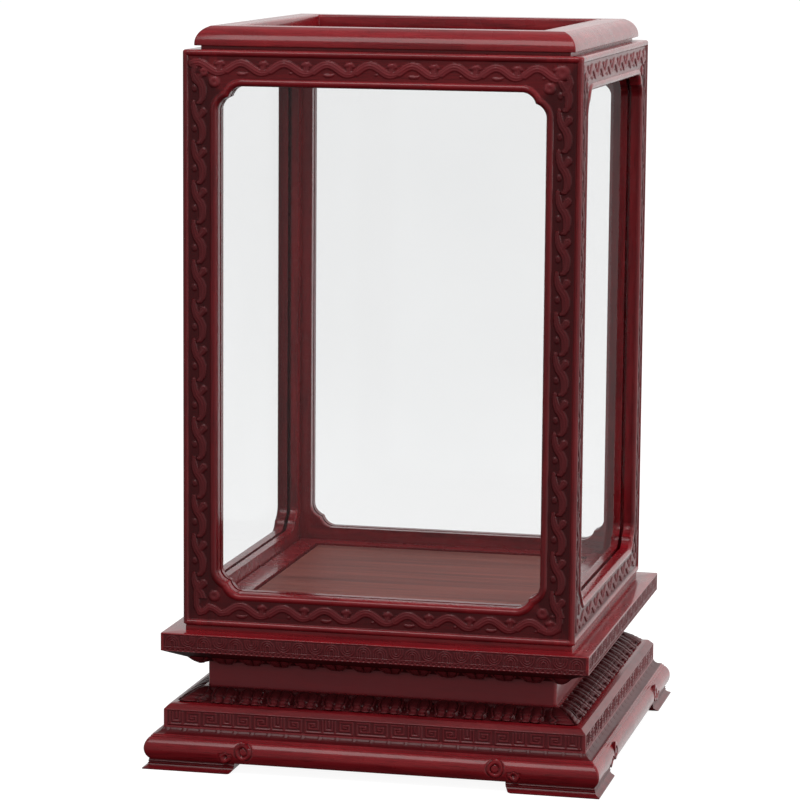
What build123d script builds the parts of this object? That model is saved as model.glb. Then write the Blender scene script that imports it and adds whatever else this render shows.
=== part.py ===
from build123d import *
from math import cos, sin, radians
import os

# Glass display case: a square glazed cover with a crown moulding, which lifts
# straight up off a stepped pedestal base with four corner feet.
# Millimetres, +Z up, the front faces -Y, the origin is the centre of the
# rectangle that the feet stand on.

# ---------------------------------------------------------------- pedestal --
FOOT_HALF = 174.5  # half width over the toes of the feet
FOOT_LEN = 70.3  # each foot runs this far along both sides of its corner
FOOT_TOP = 7.5
APRON_INNER = 140.0
APRON_TOP = 26.3  # top of the half-round floor moulding
TORUS_NECK, TORUS_OUT = 170.3, 173.8
PLINTH_HALF = 161.4  # vertical carved band above the floor moulding
PLINTH_INNER = 118.0
PLINTH_TOP = 48.3
BAND_LOW, BAND_HIGH = 31.0, 44.0
WAIST_HALF = 134.3  # plain recessed waist
WAIST_BOARD = 12.3
DECK_HALF = 163.2  # projecting top board of the pedestal
DECK_UNDER = 82.3
DECK_EDGE_LOW, DECK_TOP = 89.4, 103.0
LEDGE_HALF = 148.0  # raised seat that the cover stands on
LEDGE_TOP = 107.0
DECK_INNER = 118.0
TONGUE = 6.0
RIM_HALF, RIM_INNER, RIM_TOP = 130.5, 113.5, 123.0  # locates the cover
FLOOR_HALF, FLOOR_TOP = 111.5, 122.0  # display floor

# ------------------------------------------------------------------- cover --
CASE_HALF = 150.0  # outer faces of the glazed frame
CASE_TOP = 539.0
FRAME_T = 18.0  # frame thickness, front to back
STILE = 27.0  # face width of the posts
RAIL_LOW = 26.0  # face height of the bottom rails
RAIL_HIGH = 26.5  # face height of the top rails
LAYER = 9.0  # depth of the frame in front of the glass
REBATE = 5.0  # width of the glazing rebate
GLASS_T = 3.0
GLASS_GAP = 0.4
EDGE_R = 2.0  # rounded outer arris of the posts
TENON_LEN, TENON_T, TENON_H = 10.0, 5.0, 15.0
CUSP_END = 17.5  # reach of the double-curved window corners
CUSP_MID = (11.0, 3.0)
CUSP = 8.0
TOPLIGHT_HALF = 135.7  # glass pane in the top
TOPLIGHT_SEAT = 136.0
CROWN_OUT, CROWN_NECK, CROWN_IN = 142.7, 138.5, 113.0
CROWN_LOW, CROWN_TOP = 543.0, 556.0

INNER = CASE_HALF - FRAME_T  # inside faces of the frame
GLASS_OUT = CASE_HALF - LAYER  # outer face of the glass
GLASS_IN = GLASS_OUT - GLASS_T
WIN = CASE_HALF - STILE  # half width of each window
WIN_R = WIN + REBATE  # half width over the rebate
WIN_Z0, WIN_Z1 = LEDGE_TOP + RAIL_LOW, CASE_TOP - RAIL_HIGH
REB_Z0, REB_Z1 = WIN_Z0 - REBATE, WIN_Z1 + REBATE

SIDES = (("front", 0), ("right", 90), ("back", 180), ("left", 270))
CORNERS = (("front_left", 0), ("front_right", 90), ("back_right", 180), ("back_left", 270))


def profile_plane(a):
    """Section plane of a side: local x runs outwards, local y runs up."""
    a = radians(a)
    return Plane(origin=(0, 0, 0), x_dir=(sin(a), -cos(a), 0), z_dir=(-cos(a), -sin(a), 0))


def side_plane(a, depth):
    """Elevation plane of a side at a distance from the centre, facing out."""
    a = radians(a)
    return Plane(
        origin=(depth * sin(a), -depth * cos(a), 0),
        x_dir=(cos(a), sin(a), 0),
        z_dir=(sin(a), -cos(a), 0),
    )


def plan_plane(a, z):
    """Plan plane at height z, turned about the vertical axis."""
    a = radians(a)
    return Plane(origin=(0, 0, z), x_dir=(cos(a), sin(a), 0), z_dir=(0, 0, 1))


def mitres(a):
    """The two 45 degree planes that bound one side; the side is above both."""
    a = radians(a)
    n1 = (-cos(a) + sin(a), -sin(a) - cos(a), 0)
    n2 = (cos(a) + sin(a), sin(a) - cos(a), 0)
    return Plane(origin=(0, 0, 0), z_dir=n1), Plane(origin=(0, 0, 0), z_dir=n2)


os.makedirs("parts", exist_ok=True)
made = []


def keep(part, name):
    part.label = name
    export_step(part, f"parts/{name}.step")
    made.append(name)


# ============================================================== pedestal ====
# Feet: one L-shaped foot under each corner, with a flared toe.
foot_steps = ((0.0, FOOT_HALF), (0.9, FOOT_HALF), (1.9, 172.0), (3.6, 170.6), (FOOT_TOP, TORUS_NECK))
for corner, a in CORNERS:
    with BuildPart() as foot:
        for (z0, h0), (z1, h1) in zip(foot_steps, foot_steps[1:]):
            with BuildSketch(Plane.XY.offset(z0)):
                Rectangle(2 * h0, 2 * h0)
            with BuildSketch(Plane.XY.offset(z1)):
                Rectangle(2 * h1, 2 * h1)
            loft()
        with BuildSketch(plan_plane(a, 0)):
            with BuildLine():
                Polyline(
                    (-FOOT_HALF, -FOOT_HALF),
                    (-FOOT_HALF + FOOT_LEN, -FOOT_HALF),
                    (-FOOT_HALF + FOOT_LEN, -FOOT_HALF + 34),
                    (-FOOT_HALF + 34, -FOOT_HALF + 34),
                    (-FOOT_HALF + 34, -FOOT_HALF + FOOT_LEN),
                    (-FOOT_HALF, -FOOT_HALF + FOOT_LEN),
                    close=True,
                )
            make_face()
        extrude(amount=FOOT_TOP, mode=Mode.INTERSECT)
    keep(foot.part, f"foot_{corner}")

# Screws that hold the bottom board up to the plinth: (x, y) as seen in plan.
SCREW_R, SCREW_HEAD_R, SCREW_LEN = 1.9, 4.0, 18.0
BOARD_T = 8.0
screw_at = [(sx * 80, sy * 130) for sx in (-1, 1) for sy in (-1, 1)]
screw_at += [(sx * 130, sy * 80) for sx in (-1, 1) for sy in (-1, 1)]

for side, a in SIDES:
    near, far = mitres(a)

    # Apron: half-round floor moulding between the feet and the plinth.
    with BuildPart() as apron:
        with BuildSketch(profile_plane(a)):
            with BuildLine():
                Line((APRON_INNER, FOOT_TOP), (TORUS_NECK, FOOT_TOP))
                ThreePointArc((TORUS_NECK, FOOT_TOP), (TORUS_OUT, 15.6), (TORUS_NECK, 23.7))
                Polyline(
                    (TORUS_NECK, 23.7), (169.4, 24.0), (169.4, 25.0), (168.2, 25.2),
                    (168.2, APRON_TOP), (APRON_INNER, APRON_TOP), (APRON_INNER, FOOT_TOP),
                )
            make_face()
        extrude(amount=200, both=True)
        split(bisect_by=near, keep=Keep.TOP)
        split(bisect_by=far, keep=Keep.TOP)
    keep(apron.part, f"apron_{side}")

    # Plinth: cove, carved band and bevel, all in one rail.
    with BuildPart() as plinth:
        with BuildSketch(profile_plane(a)):
            with BuildLine():
                Line((PLINTH_INNER, APRON_TOP), (167.2, APRON_TOP))
                ThreePointArc((167.2, APRON_TOP), (163.4, 28.0), (PLINTH_HALF, BAND_LOW))
                Polyline(
                    (PLINTH_HALF, BAND_LOW), (PLINTH_HALF, BAND_HIGH), (157.6, 47.7),
                    (154.7, PLINTH_TOP), (PLINTH_INNER, PLINTH_TOP), (PLINTH_INNER, APRON_TOP),
                )
            make_face()
        extrude(amount=200, both=True)
        split(bisect_by=near, keep=Keep.TOP)
        split(bisect_by=far, keep=Keep.TOP)
        with BuildSketch(Plane.XY.offset(APRON_TOP)):
            with Locations(*screw_at):
                Circle(SCREW_R + 0.05)
        extrude(amount=SCREW_LEN - BOARD_T + 1.0, mode=Mode.SUBTRACT)
    keep(plinth.part, f"plinth_rail_{side}")

    # Lower lotus moulding: rounded upper lobe over a small turned-out tip.
    with BuildPart() as lotus_low:
        with BuildSketch(profile_plane(a)):
            with BuildLine():
                Polyline((WAIST_HALF, 58.0), (WAIST_HALF, PLINTH_TOP), (152.4, PLINTH_TOP), (153.6, 49.4))
                ThreePointArc((153.6, 49.4), (151.3, 51.4), (147.4, 52.0))
                ThreePointArc((147.4, 52.0), (142.6, 56.7), (136.6, 58.0))
                Line((136.6, 58.0), (WAIST_HALF, 58.0))
            make_face()
        extrude(amount=200, both=True)
        split(bisect_by=near, keep=Keep.TOP)
        split(bisect_by=far, keep=Keep.TOP)
    keep(lotus_low.part, f"lotus_lower_{side}")

    # Waist board: stands on the plinth and carries the deck.
    with BuildPart() as waist:
        with BuildSketch(profile_plane(a)):
            with Locations((WAIST_HALF - WAIST_BOARD / 2, (PLINTH_TOP + DECK_UNDER) / 2)):
                Rectangle(WAIST_BOARD, DECK_UNDER - PLINTH_TOP)
        extrude(amount=200, both=True)
        split(bisect_by=near, keep=Keep.TOP)
        split(bisect_by=far, keep=Keep.TOP)
    keep(waist.part, f"waist_board_{side}")

    # Upper lotus moulding, tucked under the deck.
    with BuildPart() as lotus_up:
        with BuildSketch(profile_plane(a)):
            with BuildLine():
                Polyline((WAIST_HALF, 76.6), (WAIST_HALF, DECK_UNDER), (148.0, DECK_UNDER))
                ThreePointArc((148.0, DECK_UNDER), (144.2, 78.3), (139.8, 75.9))
                Line((139.8, 75.9), (WAIST_HALF, 76.6))
            make_face()
        extrude(amount=200, both=True)
        split(bisect_by=near, keep=Keep.TOP)
        split(bisect_by=far, keep=Keep.TOP)
    keep(lotus_up.part, f"lotus_upper_{side}")

    # Deck rail: bevelled underneath, grooved for the deck panel, with the
    # raised seat for the cover on top.
    with BuildPart() as deck:
        with BuildSketch(profile_plane(a)):
            with BuildLine():
                Polyline(
                    (DECK_INNER, DECK_UNDER), (148.0, DECK_UNDER), (DECK_HALF, DECK_EDGE_LOW),
                    (DECK_HALF, DECK_TOP), (LEDGE_HALF, DECK_TOP), (LEDGE_HALF, LEDGE_TOP),
                    (DECK_INNER, LEDGE_TOP), (DECK_INNER, 104.0), (DECK_INNER + TONGUE, 104.0),
                    (DECK_INNER + TONGUE, 100.0), (DECK_INNER, 100.0),
                    close=True,
                )
            make_face()
        extrude(amount=200, both=True)
        split(bisect_by=near, keep=Keep.TOP)
        split(bisect_by=far, keep=Keep.TOP)
    keep(deck.part, f"deck_rail_{side}")

# Deck panel: tongued all round into the deck rails.
with BuildPart() as deck_panel:
    with BuildSketch(Plane.XY.offset(97)):
        Rectangle(2 * DECK_INNER, 2 * DECK_INNER)
    extrude(amount=LEDGE_TOP - 97)
    with BuildSketch(Plane.XY.offset(100)):
        Rectangle(2 * (DECK_INNER + TONGUE), 2 * (DECK_INNER + TONGUE))
    extrude(amount=4)
keep(deck_panel.part, "deck_panel")

# Two braces across the underside of the deck panel.
with BuildPart() as braces:
    with BuildSketch(Plane.XY.offset(87)):
        with Locations((0, -45), (0, 45)):
            Rectangle(2 * DECK_INNER, 20)
    extrude(amount=10)
keep(braces.part, "deck_braces")

# Glue blocks in the four inside corners of the waist.
with BuildPart() as blocks:
    for corner, a in CORNERS:
        with BuildSketch(plan_plane(a, PLINTH_TOP)):
            b = -(WAIST_HALF - WAIST_BOARD)
            with BuildLine():
                Polyline((b, b), (b + 22, b), (b, b + 22), close=True)
            make_face()
        extrude(amount=DECK_UNDER - PLINTH_TOP)
keep(blocks.part, "corner_blocks")

# Bottom board inside the apron, screwed up to the plinth rails.
with BuildPart() as bottom:
    with BuildSketch(Plane.XY.offset(APRON_TOP - BOARD_T)):
        Rectangle(2 * APRON_INNER - 0.4, 2 * APRON_INNER - 0.4)
    extrude(amount=BOARD_T)
    with Locations(*[(x, y, APRON_TOP - BOARD_T) for x, y in screw_at]):
        with Locations(Rotation(180, 0, 0)):
            CounterSinkHole(SCREW_R + 0.05, SCREW_HEAD_R + 0.1, depth=BOARD_T, counter_sink_angle=90)
keep(bottom.part, "bottom_board")

with BuildPart() as screws:
    z = APRON_TOP - BOARD_T
    for x, y in screw_at:
        with BuildSketch(Plane(origin=(x, y, 0), x_dir=(1, 0, 0), z_dir=(0, -1, 0))):
            with BuildLine():
                Polyline(
                    (0, z + 0.2), (SCREW_HEAD_R - 0.2, z + 0.2), (SCREW_R, z + SCREW_HEAD_R - SCREW_R),
                    (SCREW_R, z + SCREW_LEN - 2.5), (0, z + SCREW_LEN), close=True,
                )
            make_face()
        revolve(axis=Axis((x, y, 0), (0, 0, 1)))
keep(screws.part, "base_screws")

# Locating rim: four mitred strips that the cover drops over.
with BuildPart() as rim:
    for a in (0, 90, 180, 270):
        with BuildSketch(plan_plane(a, LEDGE_TOP)):
            with BuildLine():
                Polyline(
                    (-RIM_HALF + 0.02, -RIM_HALF), (RIM_HALF - 0.02, -RIM_HALF),
                    (RIM_INNER - 0.02, -RIM_INNER), (-RIM_INNER + 0.02, -RIM_INNER), close=True,
                )
            make_face()
        extrude(amount=RIM_TOP - LEDGE_TOP)
keep(rim.part, "locating_rim")

with BuildPart() as floor:
    with BuildSketch(Plane.XY.offset(LEDGE_TOP)):
        Rectangle(2 * FLOOR_HALF, 2 * FLOOR_HALF)
    extrude(amount=FLOOR_TOP - LEDGE_TOP)
    chamfer(floor.edges().group_by(Axis.Z)[-1], 0.8)
keep(floor.part, "floor_panel")

# ================================================================= cover ====
TENON_OUT = CASE_HALF - 2.0  # outer face of every tenon
tenon_z = ((WIN_Z0 + LEDGE_TOP) / 2, (WIN_Z1 + CASE_TOP) / 2)

# Corner posts: L-shaped, rebated for two panes, mortised for four rails.
for corner, a in CORNERS:
    c, w, r, i, g = -CASE_HALF, -WIN, -WIN_R, -INNER, -GLASS_OUT
    with BuildPart() as post:
        with BuildSketch(plan_plane(a, LEDGE_TOP)):
            with BuildLine():
                Polyline(
                    (c, c), (w, c), (w, g), (r, g), (r, i), (i, i), (i, r), (g, r), (g, w), (c, w),
                    close=True,
                )
            make_face()
        extrude(amount=CASE_TOP - LEDGE_TOP)
        arris = post.edges().filter_by(Axis.Z).sort_by_distance(
            plan_plane(a, (LEDGE_TOP + CASE_TOP) / 2).from_local_coords(Vector(c, c, 0))
        )[0]
        fillet(arris, EDGE_R)
        with BuildSketch(plan_plane(a, CASE_TOP - GLASS_T)):
            Rectangle(2 * TOPLIGHT_SEAT, 2 * TOPLIGHT_SEAT)
        extrude(amount=GLASS_T, mode=Mode.SUBTRACT)
        for zc in tenon_z:
            with BuildSketch(plan_plane(a, zc - TENON_H / 2)):
                with Locations((w - TENON_LEN / 2, -TENON_OUT + TENON_T / 2)):
                    Rectangle(TENON_LEN, TENON_T)
                with Locations((-TENON_OUT + TENON_T / 2, w - TENON_LEN / 2)):
                    Rectangle(TENON_T, TENON_LEN)
            extrude(amount=TENON_H, mode=Mode.SUBTRACT)
    keep(post.part, f"post_{corner}")

for side, a in SIDES:
    near, far = mitres(a)

    # Bottom and top rails: tenoned into the posts, rebated for the glass.
    for name, zlow, zhigh, rlow, rhigh, zc in (
        ("rail_bottom", LEDGE_TOP, WIN_Z0, LEDGE_TOP, REB_Z0, tenon_z[0]),
        ("rail_top", WIN_Z1, CASE_TOP, REB_Z1, CASE_TOP, tenon_z[1]),
    ):
        with BuildPart() as rail:
            with BuildSketch(side_plane(a, GLASS_OUT)):
                with Locations((0, (zlow + zhigh) / 2)):
                    Rectangle(2 * WIN, zhigh - zlow)
            extrude(amount=LAYER)
            with BuildSketch(side_plane(a, INNER)):
                with Locations((0, (rlow + rhigh) / 2)):
                    Rectangle(2 * WIN_R, rhigh - rlow)
            extrude(amount=LAYER)
            with BuildSketch(side_plane(a, TENON_OUT - TENON_T)):
                with Locations((0, zc)):
                    Rectangle(2 * (WIN + TENON_LEN), TENON_H)
            extrude(amount=TENON_T)
            if name == "rail_top":
                with BuildSketch(Plane.XY.offset(CASE_TOP - GLASS_T)):
                    Rectangle(2 * TOPLIGHT_SEAT, 2 * TOPLIGHT_SEAT)
                extrude(amount=GLASS_T, mode=Mode.SUBTRACT)
        keep(rail.part, f"{name}_{side}")

    # Window pane.
    with BuildPart() as pane:
        with BuildSketch(side_plane(a, GLASS_IN)):
            with Locations((0, (REB_Z0 + REB_Z1) / 2)):
                Rectangle(2 * (WIN_R - GLASS_GAP), REB_Z1 - REB_Z0 - 2 * GLASS_GAP)
        extrude(amount=GLASS_T)
    keep(pane.part, f"glass_{side}")

    # Crown moulding: recessed neck, thumb-shaped outside, flat top.
    with BuildPart() as crown:
        with BuildSketch(profile_plane(a)):
            with BuildLine():
                Polyline((CROWN_IN, CASE_TOP), (CROWN_NECK, CASE_TOP), (CROWN_NECK, CROWN_LOW), (CROWN_OUT, CROWN_LOW))
                ThreePointArc((CROWN_OUT, CROWN_LOW), (140.9, 549.9), (134.2, 555.3))
                Polyline((134.2, 555.3), (132.6, CROWN_TOP), (CROWN_IN + 1, CROWN_TOP), (CROWN_IN, 555.0), (CROWN_IN, CASE_TOP))
            make_face()
        extrude(amount=200, both=True)
        split(bisect_by=near, keep=Keep.TOP)
        split(bisect_by=far, keep=Keep.TOP)
    keep(crown.part, f"crown_{side}")

# Pane in the top, bedded in the rebate of the top rails under the crown.
with BuildPart() as toplight:
    with BuildSketch(Plane.XY.offset(CASE_TOP - GLASS_T)):
        Rectangle(2 * TOPLIGHT_HALF, 2 * TOPLIGHT_HALF)
    extrude(amount=GLASS_T)
keep(toplight.part, "glass_top")

# Glazing beads behind the panes: upright strips, then level strips.
with BuildPart() as beads_up:
    for side, a in SIDES:
        with BuildSketch(side_plane(a, INNER)):
            with Locations((-(WIN + WIN_R) / 2, (REB_Z0 + REB_Z1) / 2), ((WIN + WIN_R) / 2, (REB_Z0 + REB_Z1) / 2)):
                Rectangle(REBATE, REB_Z1 - REB_Z0)
        extrude(amount=GLASS_IN - INNER)
keep(beads_up.part, "glazing_beads_upright")

with BuildPart() as beads_level:
    for side, a in SIDES:
        with BuildSketch(side_plane(a, INNER)):
            with Locations((0, (REB_Z0 + WIN_Z0) / 2), (0, (WIN_Z1 + REB_Z1) / 2)):
                Rectangle(2 * WIN, REBATE)
        extrude(amount=GLASS_IN - INNER)
keep(beads_level.part, "glazing_beads_level")

# Spandrels: double-curved corner pieces of every window, one in front of the
# glass and one behind it.
with BuildPart() as spandrels:
    for side, a in SIDES:
        for depth, thick in ((GLASS_OUT, LAYER), (INNER, GLASS_IN - INNER)):
            with BuildSketch(side_plane(a, depth)):
                for sx in (-1, 1):
                    for z0, sz in ((WIN_Z0, 1), (WIN_Z1, -1)):
                        def at(u, v):
                            return (sx * (WIN - u), z0 + sz * v)

                        with BuildLine():
                            Line(at(0, 0), at(CUSP_END, 0))
                            ThreePointArc(at(CUSP_END, 0), at(*CUSP_MID), at(CUSP, CUSP))
                            ThreePointArc(at(CUSP, CUSP), at(CUSP_MID[1], CUSP_MID[0]), at(0, CUSP_END))
                            Line(at(0, CUSP_END), at(0, 0))
                        make_face()
            extrude(amount=thick)
keep(spandrels.part, "window_spandrels")

print(len(made), "nodes:", ", ".join(made))
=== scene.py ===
import math
import bpy
import numpy as np
from mathutils import Matrix, Vector


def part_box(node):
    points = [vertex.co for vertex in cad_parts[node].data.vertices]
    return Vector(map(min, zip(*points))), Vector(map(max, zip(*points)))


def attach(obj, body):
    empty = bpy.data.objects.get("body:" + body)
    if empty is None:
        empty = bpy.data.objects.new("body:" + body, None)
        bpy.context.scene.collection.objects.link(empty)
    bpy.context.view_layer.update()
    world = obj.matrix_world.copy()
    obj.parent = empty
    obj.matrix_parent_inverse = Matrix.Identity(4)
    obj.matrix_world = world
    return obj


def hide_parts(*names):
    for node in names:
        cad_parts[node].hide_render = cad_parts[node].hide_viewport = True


# Glass display case. Lengths below are millimetres and become metres when a
# mesh is made. Each moulding is swept along its side from a section given as
# (h, z): h is the distance from the centre of the case, z the height.

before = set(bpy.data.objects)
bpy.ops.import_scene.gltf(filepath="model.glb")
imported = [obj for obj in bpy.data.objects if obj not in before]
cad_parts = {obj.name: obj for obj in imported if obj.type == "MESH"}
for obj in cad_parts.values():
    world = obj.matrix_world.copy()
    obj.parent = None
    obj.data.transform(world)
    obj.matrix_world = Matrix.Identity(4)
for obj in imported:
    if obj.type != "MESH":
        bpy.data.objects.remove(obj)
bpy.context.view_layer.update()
STEP = 0.6  # spacing of the carved grids

SIDES = (("front", 0), ("right", 90), ("back", 180), ("left", 270))
CORNERS = (("front_left", 0), ("front_right", 90), ("back_right", 180), ("back_left", 270))

CASE, LOW, TOP = 150.0, 107.0, 539.0
WIN, WIN_LOW, WIN_TOP = 123.0, 133.0, 512.5
GLASS_OUT, GLASS_IN, INNER = 141.0, 138.0, 132.0
CUSP_END, CUSP = 17.5, 8.0


# ------------------------------------------------------------------ helpers --
def smooth(x, a, b):
    t = np.clip((x - a) / (b - a), 0.0, 1.0)
    return t * t * (3 - 2 * t)


def circle3(p, q, r):
    (ax, ay), (bx, by), (cx, cy) = p, q, r
    d = 2 * (ax * (by - cy) + bx * (cy - ay) + cx * (ay - by))
    ux = ((ax**2 + ay**2) * (by - cy) + (bx**2 + by**2) * (cy - ay) + (cx**2 + cy**2) * (ay - by)) / d
    uy = ((ax**2 + ay**2) * (cx - bx) + (bx**2 + by**2) * (ax - cx) + (cx**2 + cy**2) * (bx - ax)) / d
    return ux, uy, math.hypot(ax - ux, ay - uy)


def arc(p, q, r, n):
    """n points on the circle through p, q and r, from p to r."""
    cx, cy, rad = circle3(p, q, r)
    a = [math.atan2(y - cy, x - cx) for x, y in (p, q, r)]
    turn = (a[2] - a[0]) % (2 * math.pi)
    if (a[1] - a[0]) % (2 * math.pi) > turn:
        turn -= 2 * math.pi
    t = a[0] + np.linspace(0, 1, n) * turn
    return np.stack([cx + rad * np.cos(t), cy + rad * np.sin(t)], 1)


def line(p, q, n=2):
    return np.linspace(p, q, n)


def spread(lo, hi, step):
    return np.linspace(lo, hi, max(2, int(round((hi - lo) / step)) + 1))


def make(name, verts, quads, ngons, body, nodes, material, painted_shade=None, sharp=32.0, carved=None):
    """A closed mesh from quads and polygons, with outward normals. The shade
    amount per point is painted shade, most in recesses and under overhangs; carved marks where the surface is cut by
    hand."""
    verts = np.asarray(verts, float)
    quads = np.asarray(quads, np.int64).reshape(-1, 4)
    ngons = [np.asarray(g, np.int64) for g in ngons]
    a, b, c, d = (verts[quads[:, i]] for i in range(4))
    vol = np.einsum("ij,ij->i", a, np.cross(b, c)).sum() + np.einsum("ij,ij->i", a, np.cross(c, d)).sum()
    for g in ngons:
        p = verts[g]
        vol += np.einsum("ij,ij->i", np.repeat(p[:1], len(g) - 2, 0), np.cross(p[1:-1], p[2:])).sum()
    if vol < 0:
        quads = quads[:, ::-1]
        ngons = [g[::-1] for g in ngons]
    loops = np.concatenate([quads.ravel(), *ngons]) if ngons else quads.ravel()
    sizes = np.concatenate([np.full(len(quads), 4), np.array([len(g) for g in ngons], int)])
    starts = np.concatenate([[0], np.cumsum(sizes)[:-1]])
    me = bpy.data.meshes.new(name)
    me.vertices.add(len(verts))
    me.vertices.foreach_set("co", (verts * 0.001).astype(np.float32).ravel())
    me.loops.add(len(loops))
    me.loops.foreach_set("vertex_index", loops.astype(np.int32))
    me.polygons.add(len(sizes))
    me.polygons.foreach_set("loop_start", starts.astype(np.int32))
    me.update(calc_edges=True)
    shade_amount = me.attributes.new("painted_shade", "FLOAT", "POINT")
    if painted_shade is not None:
        shade_amount.data.foreach_set("value", np.asarray(painted_shade, np.float32).ravel())
    cut = me.attributes.new("carved", "FLOAT", "POINT")
    if carved is not None:
        cut.data.foreach_set("value", np.asarray(carved, np.float32).ravel())
    me.shade_smooth()
    me.set_sharp_from_angle(angle=math.radians(sharp))
    me.materials.append(material)
    o = bpy.data.objects.new(name, me)
    bpy.context.scene.collection.objects.link(o)
    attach(o, body)
    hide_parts(*nodes)
    return o


def grid_quads(m, n, wrap=True, base=0):
    i = np.arange(n if wrap else n - 1)
    j = np.arange(m - 1)[:, None]
    k = (i + 1) % n
    return np.stack([j * n + i, (j + 1) * n + i, (j + 1) * n + k, j * n + k + 0 * i], -1).reshape(-1, 4) + base


def turn(x, h, z, a):
    """Side coordinates (x along, h outwards) to the frame's."""
    a = math.radians(a)
    return np.stack([x * math.cos(a) + h * math.sin(a), x * math.sin(a) - h * math.cos(a), z], -1)


def turn_plan(x, y, z, a):
    a = math.radians(a)
    return np.stack([x * math.cos(a) - y * math.sin(a), x * math.sin(a) + y * math.cos(a), z], -1)


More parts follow.
